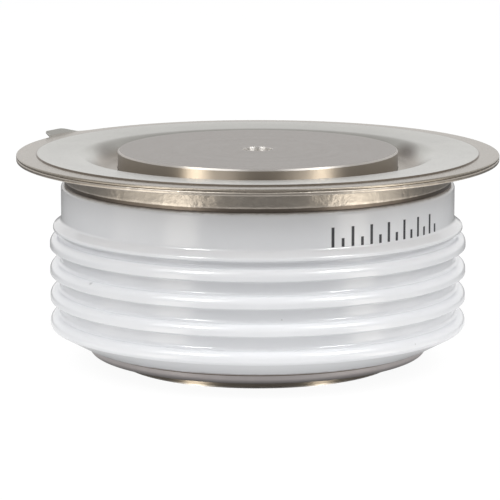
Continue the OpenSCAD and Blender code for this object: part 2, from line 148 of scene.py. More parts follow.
def position(tree):
    """Where a point is in the part's own frame."""
    return node(tree, "ShaderNodeTexCoord").outputs["Object"]


def grey(level):
    """A neutral colour."""
    return (level, level, level, 1.0)


def ramp(tree, value, tones):
    """Turns a value into greys: tones is a list of positions and levels."""
    made = node(tree, "ShaderNodeValToRGB", {"Fac": value})
    stops = made.color_ramp.elements
    for stop, (at, level) in zip(stops, (tones[0], tones[-1])):
        stop.position = at
        stop.color = grey(level)
    for at, level in tones[1:-1]:
        stops.new(at).color = grey(level)
    return made.outputs[0]


# %% [markdown]
# ## Studio
# The photo shows the part on white, lit softly from above, with one lamp at each side of the camera. A real
# studio does this with white walls and two softboxes, and with a table that is lit less than it looks. Here
# the world is the walls. What the camera sees of the floor is plain white with a faint shadow; what the
# part sees of it is a table that is dark under the part, bright around it and dim further out, with the
# shine of the two lamps on it. Upright metal mirrors the table, so this gives the metal its dark parts.

# %% World
# Where on the ramp from level to straight up, and how bright.
WALL_TONES = ((0.0, 0.95), (0.17, 0.95), (0.30, 0.88), (0.45, 0.68), (0.7, 0.58), (1.0, 0.52))
FRONT_SHARE = 0.82

world = bpy.data.worlds.new("studio")
world.use_nodes = True
bpy.context.scene.world = world
tree = world.node_tree
tree.nodes.clear()
toward = node(tree, "ShaderNodeTexCoord").outputs["Generated"]
aim = node(tree, "ShaderNodeSeparateXYZ", {0: toward}).outputs
walls = ramp(tree, aim["Z"], WALL_TONES)
depth = node(tree, "ShaderNodeMapRange", {"Value": aim["Y"], "From Min": -0.6, "From Max": 0.6,
                                          "To Min": FRONT_SHARE, "To Max": 1.0}).outputs[0]
path = node(tree, "ShaderNodeLightPath")
seen = blend(tree, path.outputs["Is Camera Ray"], walls, grey(1.0))
strength = calc(tree, "MAXIMUM", depth, path.outputs["Is Camera Ray"])
sky = node(tree, "ShaderNodeBackground", {"Color": seen, "Strength": strength})
node(tree, "ShaderNodeOutputWorld", {"Surface": sky.outputs[0]})
bpy.context.scene.view_settings.view_transform = "Standard"
print("wall tones:", WALL_TONES)

# %% Floor
FLOOR_SIZE = 4.0

floor_mesh = bpy.data.meshes.new("floor")
half = FLOOR_SIZE / 2
floor_mesh.from_pydata([(-half, -half, 0), (half, -half, 0), (half, half, 0), (-half, half, 0)], [],
                       [(0, 1, 2, 3)])
floor = add_object("floor", floor_mesh)
print("floor:", FLOOR_SIZE, "m")

# %% [markdown]
# The floor's two looks are chosen by the Light Path node. A ramp over the distance from the middle makes the
# table's tones, and a broad lobe and a narrow one at each side make the shine of the lamps.

# %% Floor paint
FLOOR_TONE = 0.09
FLOOR_GLOW = 0.935
TABLE_REACH = 0.2
TABLE_TONES = ((0.0, 0.04), (0.09, 0.05), (0.12, 0.80), (0.15, 1.0), (0.22, 0.80), (0.45, 0.24), (1.0, 0.20))
SHINE_START = 0.04
# Azimuth, core and reach in degrees, and how bright.
TABLE_SHINES = ((-57, 20, 31, 0.80), (-41, 3, 12, 1.7), (62, 20, 30, 0.80), (52, 3, 11, 2.2))


def compass(azimuth):
    """The level direction at an azimuth, in degrees round Z from the camera's side."""
    around = math.radians(azimuth - 90)
    return Vector((math.cos(around), math.sin(around), 0))


floor_paint = bpy.data.materials.new("studio_floor")
floor_paint.use_nodes = True
tree = floor_paint.node_tree
tree.nodes.clear()
spot = position(tree)
away = vector(tree, "LENGTH", spot)
heading = vector(tree, "NORMALIZE", spot)
table = ramp(tree, calc(tree, "DIVIDE", away, TABLE_REACH), TABLE_TONES)
path = node(tree, "ShaderNodeLightPath")
shine = 0.0
for azimuth, core, reach, level in TABLE_SHINES:
    facing = vector(tree, "DOT_PRODUCT", heading, compass(azimuth))
    lobe = ease(tree, facing, math.cos(math.radians(reach)), math.cos(math.radians(core)))
    shine = calc(tree, "MULTIPLY_ADD", lobe, level, shine)
outside = calc(tree, "GREATER_THAN", away, SHINE_START)
shine = calc(tree, "MULTIPLY", shine, calc(tree, "MULTIPLY", outside, path.outputs["Is Glossy Ray"]))
matt = node(tree, "ShaderNodeEmission", {"Color": table})
gloss = node(tree, "ShaderNodeEmission", {"Color": (1.0, 0.95, 0.86, 1.0), "Strength": shine})
seen_by_part = node(tree, "ShaderNodeAddShader", {0: matt.outputs[0], 1: gloss.outputs[0]})
pale = node(tree, "ShaderNodeBsdfDiffuse", {"Color": grey(FLOOR_TONE)})
glow = node(tree, "ShaderNodeEmission", {"Color": grey(FLOOR_GLOW)})
seen_by_camera = node(tree, "ShaderNodeAddShader", {0: pale.outputs[0], 1: glow.outputs[0]})
either = node(tree, "ShaderNodeMixShader", {0: path.outputs["Is Camera Ray"], 1: seen_by_part.outputs[0],
                                            2: seen_by_camera.outputs[0]})
node(tree, "ShaderNodeOutputMaterial", {"Surface": either.outputs[0]})
floor_mesh.materials.append(floor_paint)
print("shines on the table:", len(TABLE_SHINES))

# %% [markdown]
# Two softboxes light the part from the sides, steeply enough that the flange shades the plain band of the
# ceramic. Their directions come from the highlights: on an upright round wall, a lamp that stands at an
# angle to the camera shows at half that angle. Two narrow strips give the golden streaks on the sides of
# the poles. They stand low, and Blender's light linking makes the poles the only things that they reach and
# the only things that shade them, so they leave the flat faces and everything else alone.

# %% Softboxes
AIM = Vector((0, 0, 15)) * MM
LAMP_DISTANCE = 0.7
LAMP_ELEVATION = 45
STRIP_ELEVATION = -14
GOLDEN = (1.0, 0.93, 0.80)


def softbox(name, azimuth, elevation, size, power, colour=(1.0, 1.0, 1.0), only=()):
    """Adds a rectangular lamp that shines at the part, or only at some pieces of it."""
    lamp = bpy.data.lights.new(name, "AREA")
    lamp.shape = "RECTANGLE"
    lamp.size, lamp.size_y = size
    lamp.energy = power
    lamp.color = colour
    made = add_object(name, lamp)
    up = math.radians(elevation)
    made.location = AIM + LAMP_DISTANCE * (compass(azimuth) * math.cos(up) + Vector((0, 0, math.sin(up))))
    made.rotation_euler = (AIM - made.location).to_track_quat("-Z", "Y").to_euler()
    if only:
        alone = bpy.data.collections.new(name + "_reach")
        for piece in only:
            alone.objects.link(piece)
        made.light_linking.receiver_collection = alone
        made.light_linking.blocker_collection = alone
    print(name, "at", [round(v, 3) for v in made.location])
    return made


softbox("left_softbox", -44, LAMP_ELEVATION, (0.45, 0.45), 1.9)
softbox("right_softbox", 55, LAMP_ELEVATION, (0.45, 0.45), 1.9)
POLES = (NODES["cathode_pole"], NODES["anode_pole"])
softbox("left_strip", -52, STRIP_ELEVATION, (0.17, 0.20), 3.0, GOLDEN, POLES)
softbox("right_strip", 53, STRIP_ELEVATION, (0.12, 0.20), 2.0, GOLDEN, POLES)

# %% [markdown]
# ## Effects shared by the finishes
# Turned metal carries fine rings left by the tool. They run round the axis, so the pattern must change
# with the radius and the height but hardly with the angle. A four-dimensional noise does this with no seam:
# radius, height and the two parts of the direction are its four coordinates.

# %% Group: turning marks
def new_group(name, inputs, outputs):
    """Starts a shader node group with named sockets and returns it with its inner input and output nodes."""
    group = bpy.data.node_groups.new(name, "ShaderNodeTree")
    for label, value in inputs.items():
        socket = group.interface.new_socket(name=label, in_out="INPUT", socket_type="NodeSocketFloat")
        socket.default_value = value
    for label in outputs:
        group.interface.new_socket(name=label, in_out="OUTPUT", socket_type="NodeSocketFloat")
    return group, node(group, "NodeGroupInput").outputs, node(group, "NodeGroupOutput").inputs


def place(tree, group, **values):
    """Places a group in a material with its own values and returns its outputs."""
    made = node(tree, "ShaderNodeGroup", node_tree=group)
    for label, value in values.items():
        made.inputs[label.replace("_", " ")].default_value = value
    return made.outputs


def from_axis(tree):
    """Returns the height of a point, its way out from the axis and how far out it is."""
    part = node(tree, "ShaderNodeSeparateXYZ", {0: position(tree)}).outputs
    flat = node(tree, "ShaderNodeCombineXYZ", {"X": part["X"], "Y": part["Y"]}).outputs[0]
    return part["Z"], flat, vector(tree, "LENGTH", flat)


TURNING_MARKS, given, result = new_group(
    "turning_marks", {"Pitch": 0.2 * MM, "Drift": 1.5}, ("Height", "Tone"))
tree = TURNING_MARKS
level, flat, radius = from_axis(tree)
turn = node(tree, "ShaderNodeSeparateXYZ", {0: vector(tree, "NORMALIZE", flat)}).outputs
rings = node(tree, "ShaderNodeCombineXYZ", {
    "X": calc(tree, "DIVIDE", radius, given["Pitch"]),
    "Y": calc(tree, "DIVIDE", level, given["Pitch"]),
    "Z": calc(tree, "MULTIPLY", turn["X"], given["Drift"])}).outputs[0]
drift = calc(tree, "MULTIPLY", turn["Y"], given["Drift"])
for label, scale, detail, roughness in (("Height", 1.0, 3.0, 0.65), ("Tone", 0.11, 1.0, 0.5)):
    noise = node(tree, "ShaderNodeTexNoise", {"Vector": rings, "W": drift, "Scale": scale, "Detail": detail,
                                              "Roughness": roughness}, noise_dimensions="4D")
    tree.links.new(noise.outputs["Fac"], result[label])
print("group:", TURNING_MARKS.name)

# %% [markdown]
# Everything that is handled gets smudged: the shine is a little duller in soft patches, with finer streaks
# inside them. One group makes both scales, and each finish decides how much of it shows.

# %% Group: handling
HANDLING, given, result = new_group("handling", {"Patch": 6 * MM, "Streak": 0.8 * MM}, ("Haze", "Streaks"))
tree = HANDLING
where = position(tree)
for label, size, detail in (("Haze", given["Patch"], 4.0), ("Streaks", given["Streak"], 5.0)):
    scale = calc(tree, "DIVIDE", 1.0, size)
    cloud = node(tree, "ShaderNodeTexNoise", {"Vector": where, "Scale": scale, "Detail": detail,
                                              "Roughness": 0.6, "Distortion": 0.4})
    tree.links.new(cloud.outputs["Fac"], result[label])
print("group:", HANDLING.name)

# %% [markdown]
# Pits and specks are small, round and rare. A Voronoi texture gives the distance to scattered points, and
# its random colour lets most of the points go unused.

# %% Group: specks
SPECKS, given, result = new_group("specks", {"Spacing": 2 * MM, "Size": 0.08, "Share": 0.3}, ("Mask",))
tree = SPECKS
cells = node(tree, "ShaderNodeTexVoronoi", {
    "Vector": position(tree), "Scale": calc(tree, "DIVIDE", 1.0, given["Spacing"])})
chance = node(tree, "ShaderNodeSeparateColor", {0: cells.outputs["Color"]}).outputs[0]
chosen = calc(tree, "LESS_THAN", chance, given["Share"])
near = node(tree, "ShaderNodeMapRange", {"Value": cells.outputs["Distance"], "From Min": given["Size"],
                                         "From Max": calc(tree, "MULTIPLY", given["Size"], 0.5)})
tree.links.new(calc(tree, "MULTIPLY", near.outputs[0], chosen), result["Mask"])
print("group:", SPECKS.name)

# %% [markdown]
# A darker, slightly brown line lies beside each joint, uneven all the way round. The group gives a band at
# one height, whose edge is broken up by noise.

# %% Group: joint line
LOWER_JOINT, UPPER_JOINT = [corner.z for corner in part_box("ceramic_housing")]
RAGGED_SIZE = 1.2 * MM
JOINT_LINE, given, result = new_group("joint_line", {"Level": UPPER_JOINT, "Width": 0.25 * MM}, ("Mask",))
tree = JOINT_LINE
level = from_axis(tree)[0]
ragged = node(tree, "ShaderNodeTexNoise", {"Vector": position(tree), "Scale": 1 / RAGGED_SIZE, "Detail": 3.0})
away = calc(tree, "ABSOLUTE", calc(tree, "SUBTRACT", level, given["Level"]))
width = calc(tree, "MULTIPLY", given["Width"], calc(tree, "MULTIPLY", ragged.outputs["Fac"], 2.0))
tree.links.new(calc(tree, "SUBTRACT", 1.0, calc(tree, "DIVIDE", away, width), clamp=True), result["Mask"])
print("group:", JOINT_LINE.name, "at", round(LOWER_JOINT / MM, 2), "and", round(UPPER_JOINT / MM, 2), "mm")

# %% [markdown]
# ## The finishes
# Each finish is one function. All start from the same base: a Principled BSDF with a Bump node, whose Height
# the finish drives. The base colours are those of the record, moved a little towards what the photo shows.

# %% A new finish
def finish(name, bump_distance):
    """Starts a material and returns it with its tree, its surface node and the socket for the height."""
    material = bpy.data.materials.new(name)
    material.use_nodes = True
    inner = material.node_tree
    inner.nodes.clear()
    surface = node(inner, "ShaderNodeBsdfPrincipled")
    bump = node(inner, "ShaderNodeBump", {"Distance": bump_distance, "Strength": 1.0})
    inner.links.new(bump.outputs[0], surface.inputs["Normal"])
    node(inner, "ShaderNodeOutputMaterial", {"Surface": surface.outputs[0]})
    print("finish:", name)
    return material, inner, surface, bump.inputs["Height"]


# %% [markdown]
# Glazed alumina is a white body under a thin clear glass. The white varies very little, the glass is
# almost mirror-smooth but gently wavy, and it holds a few pinholes. The photo also shows one grey speck
# under the glaze at the left, and it is kept.

# %% Glazed alumina
SPECK_AT = Vector((-19.6, -15.44, 12.29)) * MM
SPECK_SIZE = Vector((0.28, 0.28, 0.20)) * MM
BLOT_EDGE = 1.3


def blot(tree, middle, size):
    """A round mask at one place, whose size is its reach along X, Y and Z."""
    offset = vector(tree, "SUBTRACT", position(tree), middle)
    reach = vector(tree, "LENGTH", vector(tree, "DIVIDE", offset, size))
    return calc(tree, "SUBTRACT", BLOT_EDGE, reach, clamp=True)


def glazed_alumina():
    """White body, wavy glass, a few pinholes, the speck and the brown joint lines."""
    material, tree, surface, height = finish("glazed_alumina", 0.02 * MM)
    marks = place(tree, TURNING_MARKS, Pitch=1.1 * MM, Drift=2.5)
    touch = place(tree, HANDLING, Patch=7 * MM, Streak=1.6 * MM)
    pits = place(tree, SPECKS, Spacing=2.6 * MM, Size=0.05, Share=0.18)
    upper_joint = place(tree, JOINT_LINE, Level=UPPER_JOINT, Width=0.22 * MM)
    lower_joint = place(tree, JOINT_LINE, Level=LOWER_JOINT, Width=0.3 * MM)
    joint = calc(tree, "MAXIMUM", upper_joint["Mask"], lower_joint["Mask"])
    speck = blot(tree, SPECK_AT, SPECK_SIZE)
    white = blend(tree, touch["Haze"], (0.80, 0.81, 0.83, 1), (0.86, 0.865, 0.88, 1))
    dotted = blend(tree, calc(tree, "MULTIPLY", pits["Mask"], 0.35), white, (0.35, 0.33, 0.30, 1))
    flawed = blend(tree, calc(tree, "MULTIPLY", speck, 0.4), dotted, (0.20, 0.19, 0.19, 1))
    edged = blend(tree, calc(tree, "MULTIPLY", joint, 0.8), flawed, (0.24, 0.20, 0.17, 1))
    gloss = spread(tree, touch["Streaks"], 0.05, 0.12)
    fill(tree, surface, {"Base Color": edged, "Roughness": gloss, "IOR": 1.52})
    waves = calc(tree, "ADD", calc(tree, "MULTIPLY", marks["Height"], 0.5),
                 calc(tree, "MULTIPLY", touch["Streaks"], 0.5))
    tree.links.new(calc(tree, "SUBTRACT", waves, calc(tree, "MULTIPLY", pits["Mask"], 0.6)), height)
    return material


FINISHES = {"glazed_alumina": glazed_alumina()}

# %% [markdown]
# Nickel plate on turned copper is satin, warm and faintly ringed. The plate follows every tool mark, so the
# rings show in the gloss and in the tone together. Grooves that run round an upright side spread a
# highlight up and down: that is anisotropy, and a radial Tangent tells the shader which way round is. The
# flat faces were ground after turning, in straight strokes, so there the tangent is one fixed direction and
# the gloss comes out even. The sides are painted darker and browner than the faces, as painted shade; the
# chamfers carry a painted highlight, and the drilled centring hole is painted light, the brightest of all.

# %% Direction of the grooves
GROOVES = 1.0
ACROSS = 0.25
STROKE = (1, 0, 0, 1)


def groove_direction(tree, surface):
    """Sets the direction of the gloss. Returns the masks of ground faces and chamfers."""
    normal = node(tree, "ShaderNodeTexCoord").outputs["Normal"]
    facing = calc(tree, "ABSOLUTE", node(tree, "ShaderNodeSeparateXYZ", {0: normal}).outputs["Z"])
    ground = calc(tree, "GREATER_THAN", facing, 0.9)
    chamfer = calc(tree, "COMPARE", facing, 0.7, 0.15)
    around = node(tree, "ShaderNodeTangent", direction_type="RADIAL", axis="Z").outputs[0]
    way = blend(tree, ground, around, STROKE)
    fill(tree, surface, {"Tangent": way, "Anisotropic": GROOVES, "Anisotropic Rotation": ACROSS})
    return ground, chamfer


# %% [markdown]
# Much of this part changes with the distance from its axis: the painted light in the hole, and the painted
# shade in the moat and on the rim. One helper, `across`, gives a soft mask between two radii for them all.

# %% Nickel plate
DULL_AT_GRAZING = (0.80, 0.79, 0.78, 1)
BORE_MOUTH = (1.95 * MM, 1.80 * MM)
# Painted highlight for the chamfers, and painted light for the drilled hole.
CHAMFER_HIGHLIGHT = (0.82, 0.78, 0.74, 1)
BORE_PAINTED_LIGHT = (0.92, 0.89, 0.85, 1)


def across(tree, start, end):
    """A mask that grows from 0 to 1 as the distance from the axis goes from start to end."""
    return ease(tree, from_axis(tree)[2], start, end)


def nickel_plate():
    """Ringed sides in painted shade, ground faces, painted highlights on the chamfers and in the hole."""
    material, tree, surface, height = finish("nickel_plate", 0.012 * MM)
    ground, chamfer = groove_direction(tree, surface)
    bore = across(tree, *BORE_MOUTH)
    marks = place(tree, TURNING_MARKS, Pitch=0.16 * MM, Drift=0.8)
    touch = place(tree, HANDLING, Patch=5 * MM, Streak=0.5 * MM)
    pits = place(tree, SPECKS, Spacing=1.7 * MM, Size=0.05, Share=0.2)
    face = blend(tree, marks["Tone"], (0.45, 0.42, 0.395, 1), (0.52, 0.49, 0.465, 1))
    # Painted shade: the sides get a darker, browner tone than the ground faces.
    side = blend(tree, marks["Tone"], (0.37, 0.325, 0.27, 1), (0.47, 0.415, 0.35, 1))
    warm = blend(tree, ground, side, face)
    dull = blend(tree, calc(tree, "MULTIPLY", touch["Haze"], 0.35), warm, (0.32, 0.285, 0.255, 1))
    dotted = blend(tree, calc(tree, "MULTIPLY", pits["Mask"], 0.5), dull, (0.20, 0.17, 0.14, 1))
    # Painted highlight: the chamfers get a brighter colour.
    chamfer_lit = blend(tree, chamfer, dotted, CHAMFER_HIGHLIGHT)
    rough_side = spread(tree, touch["Streaks"], 0.40, 0.52)
    smooth_face = spread(tree, touch["Streaks"], 0.13, 0.20)
    gloss = node(tree, "ShaderNodeMix", {0: ground, 2: rough_side, 3: smooth_face}).outputs[0]
    groove_depth = spread(tree, ground, 1.0, 0.1)
    tree.links.new(calc(tree, "MULTIPLY", marks["Height"], groove_depth), height)
    # Painted light: the drilled hole gets the brightest colour.
    fill(tree, surface, {"Base Color": blend(tree, bore, chamfer_lit, BORE_PAINTED_LIGHT), "Roughness": gloss,
                         "Metallic": 1.0, "Specular Tint": DULL_AT_GRAZING})
    return material


FINISHES["nickel_plate"] = nickel_plate()

# %% [markdown]
# The flange parts are pressed from thin nickel-plated sheet. Sheet is brighter than turned stock and its
# marks are finer; the ring that was brazed to the ceramic has gone warmer and darker in the furnace. On the
# upper sheet three rings are darker, as painted shade: the moat, where it mirrors the dark side of the pole,
# the crease of the step, and the rim, which ends where the tab starts. All follow from how far a point is
# from the axis. Two dark blots in the moat, one at each side, are painted reflections of the pole's dark
# side, and bright flecks on the rim are painted glints. The brazed ring has shallow dents, which break up
# what it mirrors.

# %% Rings of another tone
MOAT_EDGE = (20.6 * MM, 18.8 * MM)
CREASE_RISE = (26.68 * MM, 26.76 * MM)
CREASE_FALL = (26.96 * MM, 26.86 * MM)
RIM_START = (26.82 * MM, 26.9 * MM)
TAB_ROOT = (29.7 * MM, 29.2 * MM)
GLINT_BAND = (27.0 * MM, 28.6 * MM)
# Painted shade: darker tones for the moat, where it mirrors the pole's dark side, for the rim and for the
# crease.
MOAT_PAINTED_SHADE = (0.62, 0.54, 0.46, 1)
RIM_PAINTED_SHADE = (0.71, 0.645, 0.585, 1)
CREASE_PAINTED_SHADE = (0.52, 0.46, 0.42, 1)
# Painted glints: the colour of bright flecks on the rim.
PAINTED_GLINT_TONE = (0.95, 0.86, 0.70, 1)
# Painted reflections: two dark blots where the moat mirrors the pole's dark side.
DARK_REFLECTION_TONE = (0.15, 0.125, 0.105, 1)
# Middle and reach in millimetres, and how dark.
MOAT_DARK_REFLECTIONS = (((18.5, 7.2, 24.5), (1.5, 4.2, 1.0), 0.85), ((-18.8, 7.0, 24.6), (1.6, 4.0, 1.0), 0.45))


def painted_ring_shade(tree, colour):
    """Darkens a colour in the moat, on the welded rim and in the crease of the step: painted shade."""
    moat_ring = across(tree, *MOAT_EDGE)
    rim_ring = calc(tree, "MULTIPLY", across(tree, *RIM_START), across(tree, *TAB_ROOT))
    crease = calc(tree, "MULTIPLY", across(tree, *CREASE_RISE), across(tree, *CREASE_FALL))
    for mask, tone in ((moat_ring, MOAT_PAINTED_SHADE), (rim_ring, RIM_PAINTED_SHADE), (crease, CREASE_PAINTED_SHADE)):
        shade = blend(tree, mask, grey(1.0), tone)
        colour = blend(tree, 1.0, colour, shade, "MULTIPLY")
    return colour


def painted_moat_reflections(tree, colour):
    """Darkens a colour in the blots of the moat: painted reflections of the pole's dark side."""
    for middle, size, share in MOAT_DARK_REFLECTIONS:
        mask = blot(tree, Vector(middle) * MM, Vector(size) * MM)
        colour = blend(tree, calc(tree, "MULTIPLY", mask, share), colour, DARK_REFLECTION_TONE)
    return colour


def painted_rim_glints(tree, colour):
    """Scatters painted glints, small bright flecks, over the welded rim."""
    flecks = place(tree, SPECKS, Spacing=0.7 * MM, Size=0.22, Share=0.16)
    on_rim = across(tree, *GLINT_BAND)
    return blend(tree, calc(tree, "MULTIPLY", flecks["Mask"], on_rim), colour, PAINTED_GLINT_TONE)


print("blots in the moat:", len(MOAT_DARK_REFLECTIONS))

# %% Nickel sheet, bright and warm
def nickel_sheet(name, dark, light, gloss, ringed=False, dents=0.0):
    """Plated sheet between two tones. Dents is how many times deeper than the grain its dents are."""
    material, tree, surface, height = finish(name, 0.01 * MM)
    marks = place(tree, TURNING_MARKS, Pitch=0.35 * MM, Drift=3.0)
    touch = place(tree, HANDLING, Patch=4 * MM, Streak=0.35 * MM)
    joint = place(tree, JOINT_LINE, Level=UPPER_JOINT, Width=0.6 * MM)
    tone = calc(tree, "MULTIPLY_ADD", marks["Tone"], 0.4, calc(tree, "MULTIPLY", touch["Haze"], 0.6))
    # Painted glints on the rim.
    colour = painted_rim_glints(tree, blend(tree, spread(tree, tone, -0.5, 1.5), dark, light))
    browned = blend(tree, calc(tree, "MULTIPLY", joint["Mask"], 0.9), colour, (0.13, 0.11, 0.095, 1))
    # Painted shade on the upper sheet: a darker moat, rim and crease, and dark painted reflections in the
    # moat.
    with_painted_shade = painted_moat_reflections(tree, painted_ring_shade(tree, browned)) if ringed else browned
    fill(tree, surface, {"Base Color": with_painted_shade, "Roughness": spread(tree, touch["Streaks"], *gloss),
                         "Metallic": 1.0})
    grain = calc(tree, "MULTIPLY_ADD", touch["Streaks"], 0.6, calc(tree, "MULTIPLY", marks["Height"], 0.4))
    tree.links.new(calc(tree, "MULTIPLY_ADD", touch["Haze"], dents, grain), height)
    return material


FINISHES["nickel_sheet"] = nickel_sheet(
    "nickel_sheet", (0.48, 0.47, 0.44, 1), (0.56, 0.55, 0.51, 1), (0.18, 0.30), ringed=True)
FINISHES["warm_nickel_sheet"] = nickel_sheet(
    "warm_nickel_sheet", (0.35, 0.31, 0.265, 1), (0.54, 0.495, 0.44, 1), (0.20, 0.44), dents=22.0)

# %% [markdown]
# The pieces inside are seen only when the part is taken apart, but each has its finish: soft silver with
# press marks, lapped molybdenum and silicon, cast rubber, turned fluoropolymer and drawn spring wire. They
# differ in values and not in kind, so one function makes them from a short description.

# %% Inner finishes
# Two tones, the range of roughness, how metallic, and the pitch and depth of the marks in millimetres.
INNER = {
    "silver": ((0.74, 0.72, 0.68, 1), (0.88, 0.87, 0.84, 1), (0.25, 0.42), 1.0, 0.3, 0.008),
    "molybdenum": ((0.31, 0.32, 0.34, 1), (0.42, 0.43, 0.45, 1), (0.38, 0.55), 1.0, 0.12, 0.006),
    "silicon": ((0.10, 0.11, 0.14, 1), (0.15, 0.16, 0.19, 1), (0.08, 0.16), 0.6, 0.5, 0.001),
    "silicone_rubber": ((0.70, 0.68, 0.61, 1), (0.80, 0.78, 0.72, 1), (0.45, 0.62), 0.0, 0.9, 0.02),
    "fluoropolymer": ((0.84, 0.84, 0.80, 1), (0.91, 0.91, 0.88, 1), (0.42, 0.56), 0.0, 0.18, 0.01),
    "spring_steel": ((0.32, 0.32, 0.33, 1), (0.44, 0.44, 0.45, 1), (0.26, 0.40), 1.0, 0.08, 0.004),
}


def inner_finish(name, dark, light, gloss, metallic, pitch, depth):
    """A finish for a hidden piece, between two tones, with tool marks of one pitch and depth."""
    material, tree, surface, height = finish(name, depth * MM)
    marks = place(tree, TURNING_MARKS, Pitch=pitch * MM, Drift=1.2)
    touch = place(tree, HANDLING, Patch=4 * MM, Streak=0.4 * MM)
    specks = place(tree, SPECKS, Spacing=1.5 * MM, Size=0.06, Share=0.15)
    colour = blend(tree, touch["Haze"], dark, light)
    dotted = blend(tree, calc(tree, "MULTIPLY", specks["Mask"], 0.3), colour, dark)
    fill(tree, surface, {"Base Color": dotted, "Roughness": spread(tree, touch["Streaks"], *gloss),
                         "Metallic": metallic})
    tree.links.new(marks["Height"], height)
    return material


for name, values in INNER.items():
    FINISHES[name] = inner_finish(name, *values)
for entry in frame["record"]["subparts"]:
    mesh = NODES[entry["node"]].data
    mesh.materials.clear()
    mesh.materials.append(FINISHES[entry["material_slot"]])
print("finishes:", len(FINISHES))

# %% [markdown]
# ## Sections with round corners
# Nearly every piece of this part was turned on a lathe or pressed round an axis, so each is drawn as half a
# section and swept round Z. A section is a short list of corners: radius, height and the size of the round
# at that corner, all in millimetres. A Bevel modifier could round the swept mesh, but a fillet worked out
# on the section costs fewer faces and keeps both faces of a bent sheet parallel.

# %% Round corners
ARC_STEP = math.radians(9)


def fillet(before, here, after, size, side=0.0):
    """Returns the points of one round corner, moved to the left of the way by side."""
    back = (before - here).normalized()
    on = (after - here).normalized()
    half_angle = back.angle(on) / 2
    centre = here + (back + on).normalized() * size / math.sin(half_angle)
    turn = math.copysign(1, back.y * on.x - back.x * on.y)
    first = here + back * size / math.tan(half_angle) - centre
    start = math.atan2(first.y, first.x)
    sweep = turn * (math.pi - 2 * half_angle)
    steps = max(2, math.ceil(abs(sweep) / ARC_STEP))
    angles = [start + sweep * i / steps for i in range(steps + 1)]
    return [centre + (size - turn * side) * Vector((math.cos(a), math.sin(a))) for a in angles]


def closed_section(corners):
    """Returns the points of a closed section. A corner of size 0 stays sharp."""
    spots = [Vector(corner[:2]) * MM for corner in corners]
    points = []
    for i, corner in enumerate(corners):
        if corner[2] == 0:
            points.append(spots[i])
        else:
            points += fillet(spots[i - 1], spots[i], spots[(i + 1) % len(spots)], corner[2] * MM)
    return points


quarter = fillet(Vector((0, 1)), Vector((0, 0)), Vector((1, 0)), 0.3)
print("a fillet of 90 degrees has", len(quarter), "points")

# %% [markdown]
# A bent sheet has two faces that run side by side, so one path of corners gives both. A long flat stretch
# gets a point close to each of its ends, or the smooth shading of the rounds would creep into it.

# %% Bent sheets and long flats
HOLD = 0.05 * MM


def sheet_faces(corners, thickness):
    """Returns the upper and lower points of a bent sheet that lies under a path of corners."""
    spots = [Vector(corner[:2]) * MM for corner in corners]
    faces = []
    for side in (0.0, -thickness):
        shifts = []
        for a, b in ((spots[0], spots[1]), (spots[-2], spots[-1])):
            way = (b - a).normalized()
            shifts.append(Vector((-way.y, way.x)) * side)
        points = [spots[0] + shifts[0]]
        for i in range(1, len(spots) - 1):
            points += fillet(spots[i - 1], spots[i], spots[i + 1], corners[i][2] * MM, side)
        faces.append(points + [spots[-1] + shifts[1]])
    return faces


def held(points):
    """Adds a point close to both ends of each long stretch."""
    result = []
    for a, b in zip(points, points[1:] + points[:1]):
        result.append(a)
        way = b - a
        if way.length > 4 * HOLD:
            result += [a + way.normalized() * HOLD, b - way.normalized() * HOLD]
    return result


# %% [markdown]
# `turned` sweeps a closed section round Z. The faces are smooth-shaded, and edges sharper than a limit stay
# sharp. `dress` does the paperwork of each piece: it rides on the body, stands for its construction node
# and takes a finish.

# %% Turning a section into a mesh
COLUMNS = 256
SHARP_ANGLE = math.radians(32)


def smooth(mesh):
    """Shades a mesh smooth between its sharp edges."""
    mesh.shade_smooth()
    mesh.set_sharp_from_angle(angle=SHARP_ANGLE)


def grid_mesh(name, columns):
    """Joins columns of points, which go once round, into a closed mesh of quads."""
    work = bmesh.new()
    rows = [[work.verts.new(point) for point in column] for column in columns]
    for here, after in zip(rows, rows[1:] + rows[:1]):
        for i in range(len(here)):
            work.faces.new((here[i - 1], here[i], after[i], after[i - 1]))
    bmesh.ops.remove_doubles(work, verts=work.verts, dist=0.0001 * MM)
    bmesh.ops.recalc_face_normals(work, faces=work.faces)
    mesh = bpy.data.meshes.new(name)
    work.to_mesh(mesh)
    work.free()
    smooth(mesh)
    return mesh


def swung(points, angle):
    """Swings the points of a section to an angle round Z."""
    return [Vector((p.x * math.cos(angle), p.x * math.sin(angle), p.y)) for p in points]


def turned(name, section, count=COLUMNS):
    """Sweeps a closed section round Z."""
    return grid_mesh(name, [swung(held(section), 2 * math.pi * i / count) for i in range(count)])


def dress(name, mesh, slot, node_name=None, material=None):
    """Makes a piece of the mesh, which rides on the root and may stand for a construction node."""
    piece = add_object(name, mesh)
    mesh.materials.append(material or FINISHES[slot])
    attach(piece, "root")
    if node_name:
        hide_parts(node_name)
    print(name, "has", sum(len(face.vertices) - 2 for face in mesh.polygons), "triangles")
    return piece


# %% [markdown]
# ## Directions and heights
# The big sizes come from the construction model's boxes, so the fine pieces sit exactly where it says. The
# gate tube leaves through the back of the ceramic, at its own angle and height.

# %% Sizes taken from the model
def box_mm(name):
    """The lowest and highest corners of a node, in millimetres."""
    low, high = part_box(name)
    return low / MM, high / MM


